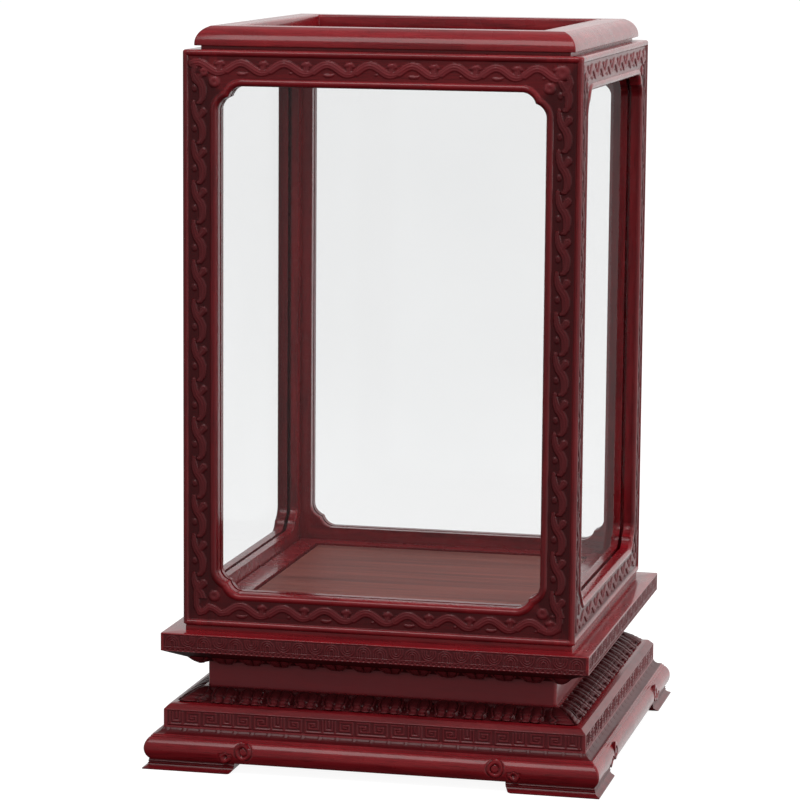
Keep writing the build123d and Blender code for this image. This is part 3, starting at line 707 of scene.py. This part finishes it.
# ------------------------------------------------------------- mouldings -----
def sweep(name, a, runs, body, corner=0.8, carve=None, step=None, sharp=32.0, material=None):
    """Sweeps a section along one side, mitred at both ends. runs is a list of
    (points, tag); carve(tag, x, v, h, z) gives the depth, and the painted shade
    at each point, mostly in recesses. The vertical arris at the mitre has radius corner."""
    P, tag, V = [], [], []
    nrm = []
    for pts, t in runs:
        pts = np.asarray(pts, float)
        seg = np.gradient(pts, axis=0)
        seg /= np.linalg.norm(seg, axis=1)[:, None] + 1e-12
        length = np.concatenate([[0], np.cumsum(np.hypot(*np.diff(pts, axis=0).T))])
        keep = slice(0, len(pts) - 1)
        P.append(pts[keep])
        nrm.append(np.stack([seg[:, 1], -seg[:, 0]], 1)[keep])
        tag += [t] * (len(pts) - 1)
        V.append((length / length[-1])[keep])
    P, nrm, V, tag = np.concatenate(P), np.concatenate(nrm), np.concatenate(V), np.array(tag)
    hmax = P[:, 0].max()
    cols = [(-1, math.radians(q)) for q in np.linspace(45, 0, 6)[:-1]]
    cols += [(t, 0.0) for t in (np.linspace(-1, 1, int(2 * hmax / step)) if step else np.linspace(-1, 1, 9))]
    cols += [(1, math.radians(q)) for q in np.linspace(0, 45, 6)[1:]]
    t = np.array([c[0] for c in cols])[:, None]
    th = np.array([c[1] for c in cols])[:, None]
    h, z = P[None, :, 0] + 0 * t, P[None, :, 1] + 0 * t
    dep, shade_amount = np.zeros_like(h), np.zeros_like(h)
    if carve is not None:
        x0 = t * (h - corner) + np.sign(t) * corner * np.sin(th)
        for g in sorted(set(tag.tolist()) - {0}):
            s = tag == g
            dd, cc = carve(g, x0[:, s], np.repeat(V[s][None], len(cols), 0), h[:, s], z[:, s])
            dep[:, s], shade_amount[:, s] = dd, cc
    h = h - dep * nrm[None, :, 0]
    z = z - dep * nrm[None, :, 1]
    x = t * (h - corner) + np.where(t < 0, -1, 1) * corner * np.sin(th)
    hh = h - corner * (1 - np.cos(th))
    m, N = h.shape
    caps = [np.arange(N), (np.arange(N) + (m - 1) * N)[::-1]]
    cut = (tag == 1)[None] * smooth(hmax - 2.2 - np.abs(x), -0.3, 0.3) if carve not in (None, torus_carve) else 0 * x
    return make(name, turn(x, hh, z, a).reshape(-1, 3), grid_quads(m, N), caps, body, [name], material or along(a), shade_amount, sharp, cut)


def fillet(p, q, r, rad, n=4):
    """Points rounding the corner q between p and r."""
    p, q, r = (np.asarray(k, float) for k in (p, q, r))
    a, b = (p - q) / np.linalg.norm(p - q), (r - q) / np.linalg.norm(r - q)
    ang = math.acos(float(np.clip(a @ b, -1, 1)))
    cut = rad / math.tan(ang / 2)
    c = q + (a + b) / np.linalg.norm(a + b) * rad / math.sin(ang / 2)
    s, e = q + a * cut, q + b * cut
    a0, a1 = math.atan2(*(s - c)[::-1]), math.atan2(*(e - c)[::-1])
    d = (a1 - a0 + math.pi) % (2 * math.pi) - math.pi
    k = a0 + np.linspace(0, 1, n) * d
    return np.stack([c[0] + rad * np.cos(k), c[1] + rad * np.sin(k)], 1)


def rounded(points, radii, n=4):
    """Closed outline with its corners rounded, starting after the first."""
    out = []
    m = len(points)
    for i in range(m):
        r = radii[i]
        out.append(fillet(points[i - 1], points[i], points[(i + 1) % m], r, n) if r else np.array([points[i]], float))
    loop = np.concatenate(out)
    return np.concatenate([loop, loop[:1]])


# key fret on the plinth band: square spirals, and nested squares open on top
SPIRAL = [[(-6.6, -4.7), (4.9, -4.7), (4.9, 4.5), (-4.6, 4.5), (-4.6, -2.0), (2.2, -2.0), (2.2, 1.9), (-1.9, 1.9), (-1.9, 0.1), (0.0, 0.1)]]
NEST = [
    [(-4.9, 4.5), (-4.9, -4.7), (4.9, -4.7), (4.9, 4.5)],
    [(-2.7, 4.5), (-2.7, -2.3), (2.7, -2.3), (2.7, 4.5)],
    [(0.0, 4.5), (0.0, 0.2)],
    [(-6.6, -4.7), (6.6, -4.7)],
]
CELL = 13.2


def near_lines(px, q, lines):
    best = np.full(px.shape, 9.0)
    for pts in lines:
        for (ax, ay), (bx, by) in zip(pts, pts[1:]):
            l2 = (bx - ax) ** 2 + (by - ay) ** 2
            k = np.clip(((px - ax) * (bx - ax) + (q - ay) * (by - ay)) / l2, 0, 1)
            best = np.minimum(best, np.hypot(px - ax - k * (bx - ax), q - ay - k * (by - ay)))
    return best


def plinth_carve(tag, x, v, h, z):
    p = np.abs(x)
    run = 158.4 - p  # from the corner inwards
    cell = np.floor(run / CELL)
    px = run - cell * CELL - CELL / 2
    if tag == 1:
        q = z - 37.5
        kind = cell % 3
        flip = np.where(kind == 2, -px, px)
        best = np.where(kind == 0, near_lines(px, q, NEST), near_lines(flip, q, SPIRAL))
        best = np.where(run < 0, 9.0, best)
        up = 1 - smooth(best, 0.42, 0.85)
        edge = np.maximum(smooth(np.abs(z - 37.5), 5.75, 6.1), smooth(p, h - 2.6, h - 2.1))
        up = np.maximum(up, edge)
        # painted shade over the band, deepest in the hollows of the fret
        return 0.55 * (1 - up), (0.34 + 0.30 * (1 - up)) * (1 - edge)
    # a small curl hangs under every joint of the fret, on the cove, which is
    # painted dark with shade under the band
    if tag == 3:  # painted shade: the bevel above the band is a little darker too, in the deck's shadow
        return 0 * x, 0 * x + 0.35
    g = np.hypot(CELL / 2 - np.abs(px), (0.72 - v) * 7.6)
    drop = np.clip(1 - (g / 1.5) ** 2, 0, 1)
    rim = np.exp(-(((g - 1.9) / 0.45) ** 2))
    return 0.10 * rim - 0.20 * np.sqrt(drop) + 0.15 * np.exp(-((g / 0.5) ** 2)), np.clip(0.90 + 0.10 * rim, 0, 1)


def deck_carve(tag, x, v, h, z):
    if tag == 2:  # the soffit is painted fully dark with shade
        return 0 * x, 0 * x + 1
    p = np.abs(x)
    q = z - 96.2
    period = 24.7
    px = (p + period / 4) % period - period / 2
    up = np.zeros(x.shape)
    # arches, standing and hanging in turn, each of three nested bands
    for c in (-period / 2, 0.0, period / 2):
        flip = 1 if c == 0 else -1
        cz = 0.7 - flip * 1.3
        y = (q - cz) * flip
        for r in (5.1, 3.4, 1.7):
            d = np.where(y > 0, np.abs(np.hypot(px - c, y) - r), np.hypot(np.abs(px - c) - r, np.minimum(y + 2.2, 0)))
            up = np.maximum(up, 1 - smooth(d, 0.34, 0.72))
    # row of little arches along the bottom
    g = (p % 4.1) - 2.05
    d = np.abs(np.hypot(g, q + 6.1) - 1.6)
    up = np.where(q < -3.9, 1 - smooth(d, 0.3, 0.7), up)
    up = np.maximum(up, 1 - smooth(np.abs(q + 3.9), 0.15, 0.45))
    edge = np.maximum(smooth(q, 5.45, 5.75), 1 - smooth(q, -6.5, -6.25))
    edge = np.maximum(edge, smooth(p, h - 2.3, h - 1.9))
    up = np.maximum(up, edge)
    # painted shade over the carved edge, deepest in its hollows
    return 0.38 * (1 - up), (0.48 + 0.24 * (1 - up)) * (1 - edge)


def waist_finish(tag, x, v, h, z):
    """Plain, but as dull as the carving beside it."""
    return 0 * x, 0 * x


def petal_phase(x, h):
    """-0.5 to 0.5 across each petal, with a petal on the mitre."""
    p = np.abs(x)
    mid = ((p % 21.5) / 21.5) - 0.5
    corner = 0.5 * (h - p) / (h - 129.0)
    return np.where(p > 129.0, corner, mid)


def lobes(f):
    """Depth across one petal: two cushions inside a raised rim."""
    f = np.abs(f)
    cushion = 0.55 * (1 - np.sqrt(np.clip(1 - ((f - 0.19) / 0.155) ** 2, 0, 1)))
    inner = np.where(np.abs(f - 0.19) < 0.155, cushion, 1.0)
    rim = 0.12 + 0.9 * smooth(np.abs(f - 0.415), 0.02, 0.055)
    return np.minimum(inner, rim)


def lotus_up_carve(tag, x, v, h, z):
    f = petal_phase(x, h)
    # v runs from the tip of the petals up to the deck
    half = np.interp(v, [0, 0.05, 0.14, 0.30, 0.50, 0.68, 0.85, 1], [0.10, 0.20, 0.27, 0.31, 0.36, 0.44, 0.475, 0.485])
    out = smooth(np.abs(f), half - 0.035, half + 0.02)
    d = lobes(f / (2 * half) * 0.97)
    d = d * (0.35 + 0.65 * smooth(v, 0.0, 0.25)) * (1 - 0.55 * smooth(v, 0.8, 1))
    # a second, shorter petal shows between each two
    behind = np.abs(0.5 - np.abs(f))
    full = 2.3 - 1.0 * np.sqrt(np.clip(1 - (behind / 0.17) ** 2, 0, 1)) * smooth(v, 0.22, 0.45)
    full = full * (1 - 0.6 * smooth(v, 0.8, 1))
    depth = d * (1 - out) + full * out
    # painted shade over the petals, deepest between them
    return depth, np.clip(0.35 + depth / 1.9, 0, 1)


def lotus_low_carve(tag, x, v, h, z):
    f = petal_phase(x, h)
    # v runs from the turned-out tips up to the waist. The petals pull in near
    # both ends, which leaves a deep hole between them there.
    half = np.interp(v, [0, 0.06, 0.14, 0.24, 0.34, 0.48, 0.74, 0.88, 1], [0.30, 0.43, 0.45, 0.37, 0.44, 0.485, 0.48, 0.40, 0.34])
    out = smooth(np.abs(f), half - 0.03, half + 0.015)
    d = 1.35 * lobes(f / (2 * half) * 0.98)
    # the ribs run straight over the hollow of the moulding
    ride = 1.5 * np.exp(-(((v - 0.42) / 0.13) ** 2)) - 0.5 * np.exp(-(((v - 0.22) / 0.06) ** 2))
    d = d * (1 - 0.4 * smooth(v, 0.88, 1)) - ride * (1 - 0.35 * np.clip(d, 0, 1))
    full = 2.4 * (1 - smooth(v, 0.84, 1)) * smooth(v, -0.02, 0.12)
    depth = d * (1 - out) + full * out
    # painted shade: near black at the top, under the waist and deck, and in the holes between petals
    return depth, np.clip(0.65 + 0.35 * smooth(v, 0.25, 0.75) + (depth + ride * (1 - out)) / 1.7, 0, 1)


def torus_carve(tag, x, v, h, z):
    """Roundel and small curl where each foot ends; the rest is plain."""
    p = np.abs(x)
    d = np.hypot(p - 96.1, z - 17.1)
    R = 6.0
    face = 173.75 + 0.60 * np.sqrt(np.clip(1 - ((d - 4.6) / 1.4) ** 2, 0, 1)) - 0.75 * np.exp(-(((d - 3.2) / 0.45) ** 2)) - 0.02 * np.minimum(d, 3.0) ** 2
    moat = 0.55 * np.exp(-(((d - R - 0.6) / 0.7) ** 2))
    dep = np.where(d < R, h - face, moat)
    # painted shade in the roundel's ring groove and its moat, and at the centre of the small scroll
    shade_amount = 0.7 * np.exp(-(((d - 3.2) / 0.5) ** 2)) + 0.7 * np.exp(-(((d - R - 0.5) / 0.6) ** 2))
    d2 = np.hypot(p - 110.2, z - 12.6)
    face2 = 172.9 + 0.55 * np.sqrt(np.clip(1 - ((d2 - 2.6) / 1.2) ** 2, 0, 1)) - 1.4 * np.exp(-((d2 / 1.3) ** 2))
    hit = (d2 < 3.8) & (d > R)
    dep = np.where(hit, h - face2, dep)
    shade_amount = np.where(hit, np.exp(-((d2 / 1.2) ** 2)), shade_amount)
    # groove curling from the foot's end round the small scroll
    g = np.abs(np.hypot(p - 110.2, z - 12.6) - 5.0)
    arcs = (z < 15.5) & (p > 103) & ~hit & (d > R)
    dep = np.where(arcs, np.maximum(dep, 0.7 * np.exp(-((g / 0.6) ** 2))), dep)
    return dep, np.clip(shade_amount, 0, 1)


def build_base():
    for side, a in SIDES:
        # half-round floor moulding with two thin fillets on top
        sec = [
            (line((140, 7.5), (170.3, 7.5)), 0),
            (arc((170.3, 7.5), (173.8, 15.6), (170.3, 23.7), 40), 1),
            (rounded([(170.3, 23.7), (169.4, 24.0), (169.5, 25.0), (168.2, 25.25), (168.2, 26.3), (140, 26.3)], [0, 0.15, 0.3, 0.2, 0.3, 0], 3)[:-1], 0),
            (line((140, 26.3), (140, 7.5)), 0),
        ]
        sweep(f"apron_{side}", a, sec, "base", corner=1.6, carve=torus_carve, step=STEP)
        # plinth: cove, carved band and bevel
        sec = [
            (line((118, 26.3), (167.2, 26.3)), 0),
            (arc((167.2, 26.3), (163.4, 28.0), (161.4, 31.0), 9), 2),
            (line((161.4, 31.0), (161.4, 44.0), int(13 / (STEP * 0.65))), 1),
            (np.concatenate([fillet((161.4, 40), (161.4, 44), (157.6, 47.7), 0.7), fillet((161.4, 44), (157.6, 47.7), (154.7, 48.3), 0.8), [(154.7, 48.3)]]), 3),
            (line((154.7, 48.3), (118, 48.3)), 0),
            (line((118, 48.3), (118, 26.3)), 0),
        ]
        sweep(f"plinth_rail_{side}", a, sec, "base", corner=0.7, carve=plinth_carve, step=STEP * 0.75)
        sec = [
            (line((134.3, 48.3), (152.4, 48.3)), 0),
            (np.concatenate([line((152.4, 48.3), (153.6, 49.4), 3)[:-1], arc((153.6, 49.4), (151.3, 51.4), (147.4, 52.0), 12)[:-1], arc((147.4, 52.0), (142.6, 56.7), (136.6, 58.0), 20)]), 1),
            (line((136.6, 58.0), (134.3, 58.0)), 0),
            (line((134.3, 58.0), (134.3, 48.3)), 0),
        ]
        sweep(f"lotus_lower_{side}", a, sec, "base", corner=0.6, carve=lotus_low_carve, step=STEP * 0.8, sharp=50)
        sec = [
            (line((122, 48.3), (134.3, 48.3)), 0),
            (line((134.3, 48.3), (134.3, 82.3), 8), 1),
            (line((134.3, 82.3), (122, 82.3)), 0),
            (line((122, 82.3), (122, 48.3)), 0),
        ]
        sweep(f"waist_board_{side}", a, sec, "base", corner=3.0, carve=waist_finish)
        sec = [
            (line((134.3, 76.6), (139.8, 75.9)), 0),
            (arc((139.8, 75.9), (144.2, 78.3), (148.0, 82.3), 22), 1),
            (line((148.0, 82.3), (134.3, 82.3)), 0),
            (line((134.3, 82.3), (134.3, 76.6)), 0),
        ]
        sweep(f"lotus_upper_{side}", a, sec, "base", corner=0.6, carve=lotus_up_carve, step=STEP * 0.8, sharp=50)
        edge = line((163.2, 89.4), (163.2, 103.0), int(13.6 / (STEP * 0.7)))
        sec = [
            (line((118, 82.3), (148, 82.3)), 0),
            (line((148, 82.3), (163.2, 89.4), 4), 2),
            (edge[:-1], 1),
            (np.concatenate([fillet((163.2, 95), (163.2, 103), (150, 103), 0.7, 5), [(148, 103)]]), 0),
            (np.concatenate([[(148, 103)], fillet((148, 103), (148, 107), (140, 107), 0.5), [(118, 107)]]), 0),
            (np.array([(118, 107), (118, 104), (124, 104), (124, 100), (118, 100), (118, 82.3)], float), 0),
        ]
        sweep(f"deck_rail_{side}", a, sec, "base", corner=0.9, carve=deck_carve, step=STEP * 0.75)


def foot(name, a):
    zs = np.array([0.0, 0.35, 0.9, 1.25, 1.7, 2.3, 3.0, 3.6, 4.1, 4.45, 4.8, 5.2, 5.6, 6.0, 6.4, 6.9, 7.5])
    hs = np.array([174.35, 174.5, 174.45, 173.6, 172.6, 171.6, 170.9, 170.6, 170.9, 170.95, 170.5, 170.15, 170.6, 170.75, 170.35, 170.2, 170.3])
    # the inner end is rounded under, 5 mm along and 6.5 mm up
    end = 103.6 + 5.0 * (1 - np.sqrt(1 - np.clip(1 - zs / 6.5, 0, 1) ** 2))
    n = 30
    t = np.linspace(0, 1, n)
    loops = []
    for z, h, e in zip(zs, hs, end):
        front = np.stack([-h + t * (h - e), np.full(n, -h)], 1)
        inner = np.array([(-e, -140.5), (-140.5, -140.5), (-140.5, -e)])
        left = np.stack([np.full(n, -h), -e + t * (e - h)], 1)
        loops.append(np.concatenate([front, inner, left[:-1]]))
    L = np.array(loops)
    m, N = L.shape[:2]
    z = np.repeat(zs[:, None], N, 1)
    # painted shade over the whole foot, heavier in the grooves of its neck
    shade_amount = 0.50 + 0.35 * np.clip((171.0 - np.repeat(hs[:, None], N, 1)) / 0.8, 0, 1)
    caps = [np.arange(N), (np.arange(N) + (m - 1) * N)[::-1]]
    make(name, turn_plan(L[..., 0], L[..., 1], z, a).reshape(-1, 3), grid_quads(m, N), caps, "base", [name], LACQ[0], shade_amount)


def crown(side, a):
    sec = [
        (line((113, 539), (138.5, 539)), 0),
        (np.concatenate([line((138.5, 539), (138.5, 541.0), 3), fillet((138.5, 540), (138.5, 541.6), (142.7, 541.6), 0.4)[:-1]]), 0),
        (np.concatenate([[(139.2, 541.6)], fillet((139, 541.6), (142.7, 541.6), (142.6, 544), 0.5), arc((142.68, 542.6), (140.9, 549.5), (134.2, 555.3), 26)[1:-1], [(134.2, 555.3), (133.5, 555.75), (132.6, 556.0)]]), 0),
        (np.concatenate([[(132.6, 556.0), (117.4, 556.0)], [(116.9, 555.6), (116.5, 555.55), (116.1, 555.75)], arc((115.9, 555.8), (114.4, 556.0), (113.25, 555.3), 6), [(113.0, 554.6)]]), 0),
        (line((113.0, 554.6), (113, 539), 3), 0),
    ]
    sweep(f"crown_{side}", a, sec, "cover", corner=0.9)


def pane(node):
    """Glass with seamed edges, a hair thinner than its rebate."""
    lo, hi = (np.array(k) * 1000 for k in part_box(node))
    flat = int(np.argmin(hi - lo))
    i, j = [k for k in range(3) if k != flat]
    verts = []
    for at, inset in ((lo[flat] + 0.04, 0.5), (lo[flat] + 0.5, 0.04), (hi[flat] - 0.5, 0.04), (hi[flat] - 0.04, 0.5)):
        for si, sj in ((0, 0), (1, 0), (1, 1), (0, 1)):
            p = np.zeros(3)
            p[flat] = at
            p[i] = (lo[i] + inset, hi[i] - inset)[si]
            p[j] = (lo[j] + inset, hi[j] - inset)[sj]
            verts.append(p)
    caps = [np.arange(4), (np.arange(4) + 12)[::-1]]
    make(node, np.array(verts), grid_quads(4, 4), caps, "cover", [node], GLASS, sharp=20.0)


# ------------------------------------------------------------------- build ---
for node in ("glass_front", "glass_right", "glass_back", "glass_left", "glass_top"):
    pane(node)
for corner, a in CORNERS:
    post(f"post_{corner}", a)
    foot(f"foot_{corner}", a)
for side, a in SIDES:
    rail(f"rail_bottom_{side}", a, False)
    rail(f"rail_top_{side}", a, True)
    crown(side, a)
spandrels()
build_base()

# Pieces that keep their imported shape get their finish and, where a sharp edge
# would show, a small rounding.
KEEP = {
    "deck_panel": (CARCASS, 0.0003), "deck_braces": (CARCASS, 0.0003), "corner_blocks": (CARCASS, 0.0003),
    "bottom_board": (CARCASS, 0.0), "base_screws": (STEEL, 0.0), "locating_rim": (LACQ[0], 0.0009),
    "floor_panel": (FLOOR_WOOD, 0.0004), "glazing_beads_upright": (LACQ[2], 0.0007), "glazing_beads_level": (LACQ[0], 0.0007),
}
for node, (mat, width) in KEEP.items():
    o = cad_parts[node]
    o.data.materials.clear()
    o.data.materials.append(mat)
    if width:
        b = o.modifiers.new("arris", "BEVEL")
        b.width, b.segments, b.limit_method = width, 3, "ANGLE"
        b.harden_normals = True

# ------------------------------------------------------------------- stage ---
world = bpy.data.worlds.new("studio")
bpy.context.scene.world = world
world.use_nodes = True
nt = world.node_tree
nt.nodes.clear()
out = nt.nodes.new("ShaderNodeOutputWorld")
bg = nt.nodes.new("ShaderNodeBackground")
nt.links.new(bg.outputs[0], out.inputs[0])
tc = nt.nodes.new("ShaderNodeTexCoord")
# the room is white behind and to the right, dim in front and to the left
facing = nt.nodes.new("ShaderNodeVectorMath")
facing.operation = "DOT_PRODUCT"
facing.inputs[1].default_value = (0.85, 0.53, 0.0)
nt.links.new(tc.outputs["Generated"], facing.inputs[0])
mr = nt.nodes.new("ShaderNodeMapRange")
mr.interpolation_type = "SMOOTHSTEP"
mr.inputs["From Min"].default_value = -0.45
mr.inputs["From Max"].default_value = 0.60
mr.inputs["To Min"].default_value = 0.46
mr.inputs["To Max"].default_value = 1.12
nt.links.new(facing.outputs["Value"], mr.inputs["Value"])
# and darker below than above
sep = nt.nodes.new("ShaderNodeSeparateXYZ")
nt.links.new(tc.outputs["Generated"], sep.inputs[0])
under = nt.nodes.new("ShaderNodeMapRange")
under.interpolation_type = "SMOOTHSTEP"
under.inputs["From Min"].default_value = -0.50
under.inputs["From Max"].default_value = -0.22
under.inputs["To Min"].default_value = 0.12
under.inputs["To Max"].default_value = 1.0
nt.links.new(sep.outputs["Z"], under.inputs["Value"])
both = nt.nodes.new("ShaderNodeMath")
both.operation = "MULTIPLY"
nt.links.new(mr.outputs[0], both.inputs[0])
nt.links.new(under.outputs[0], both.inputs[1])
# the backdrop itself is white, also on the side where the room is dim
lp = nt.nodes.new("ShaderNodeLightPath")
mx = nt.nodes.new("ShaderNodeMix")
mx.data_type = "FLOAT"
nt.links.new(lp.outputs["Is Camera Ray"], mx.inputs[0])
nt.links.new(both.outputs[0], mx.inputs[2])
mx.inputs[3].default_value = 1.03
nt.links.new(mx.outputs[0], bg.inputs["Strength"])
bg.inputs["Color"].default_value = (1, 1, 1, 1)


def area(name, at, to, size, power, tall=None):
    light = bpy.data.lights.new(name, "AREA")
    light.shape, light.size, light.size_y, light.energy = "RECTANGLE", size, tall or size, power
    o = bpy.data.objects.new(name, light)
    bpy.context.scene.collection.objects.link(o)
    o.location = at
    o.rotation_mode = "QUATERNION"
    o.rotation_quaternion = (Vector(to) - Vector(at)).to_track_quat("-Z", "Y")
    o.visible_camera = False
    return o


area("key", (0.2, -2.9, 1.3), (0, 0, 0.3), 1.3, 20).visible_glossy = False
area("top", (0.1, -0.7, 2.8), (0, 0, 0.1), 2.2, 70).visible_glossy = False
area("side", (2.6, 0.2, 1.3), (0, 0, 0.25), 1.8, 42).visible_glossy = False
# softbox high in front and two upright ones at its sides, which give the round
# mouldings their sheen and add nothing to the rest
area("sheen_high", (-0.4, -2.3, 2.5), (0, 0, 0.2), 1.5, 38).visible_diffuse = False
area("sheen_left", (-1.7, -2.4, 1.3), (0, 0, 0.3), 0.35, 5, 2.2).visible_diffuse = False
area("sheen_right", (2.9, -0.55, 1.1), (0, 0, 0.3), 0.8, 20, 1.9).visible_diffuse = False

fm = bpy.data.materials.new("pale_floor")
fm.use_nodes = True
fb = fm.node_tree.nodes["Principled BSDF"]
fb.inputs["Base Color"].default_value = (0.16, 0.16, 0.16, 1)
fb.inputs["Roughness"].default_value = 0.7
fb.inputs["Specular IOR Level"].default_value = 0.1
fb.inputs["Emission Color"].default_value = (1, 1, 1, 1)
fb.inputs["Emission Strength"].default_value = 0.92
# The light falls from above: the floor throws none back and isn't mirrored.
me = bpy.data.meshes.new("floor")
me.from_pydata([(-8, -8, 0), (8, -8, 0), (8, 14, 0), (-8, 14, 0)], [], [(0, 1, 2, 3)])
me.materials.append(fm)
floor = bpy.data.objects.new("floor", me)
bpy.context.scene.collection.objects.link(floor)
floor.visible_glossy = False
floor.visible_diffuse = False

# ------------------------------------------------------------------ camera ---
yaw, pitch, roll = (math.radians(k) for k in (-12.95, -8.56, 0.46))
fwd = np.array([math.sin(yaw) * math.cos(pitch), math.cos(yaw) * math.cos(pitch), math.sin(pitch)])
right = np.array([math.cos(yaw), -math.sin(yaw), 0.0])
up = np.cross(right, fwd)
r2 = right * math.cos(roll) + up * math.sin(roll)
u2 = -right * math.sin(roll) + up * math.cos(roll)
cam = bpy.data.cameras.new("camera")
cam.sensor_fit, cam.sensor_width, cam.lens = "HORIZONTAL", 36.0, 3448.69 / 800 * 36.0
cam.clip_start, cam.clip_end = 0.05, 100.0
camera = bpy.data.objects.new("camera", cam)
bpy.context.scene.collection.objects.link(camera)
camera.matrix_world = Matrix((
    (r2[0], u2[0], -fwd[0], 0.57923),
    (r2[1], u2[1], -fwd[1], -2.59475),
    (r2[2], u2[2], -fwd[2], 0.65832),
    (0, 0, 0, 1),
))
bpy.context.scene.camera = camera
bpy.context.scene.view_settings.view_transform = "Standard"
bpy.context.scene.view_settings.look = "None"
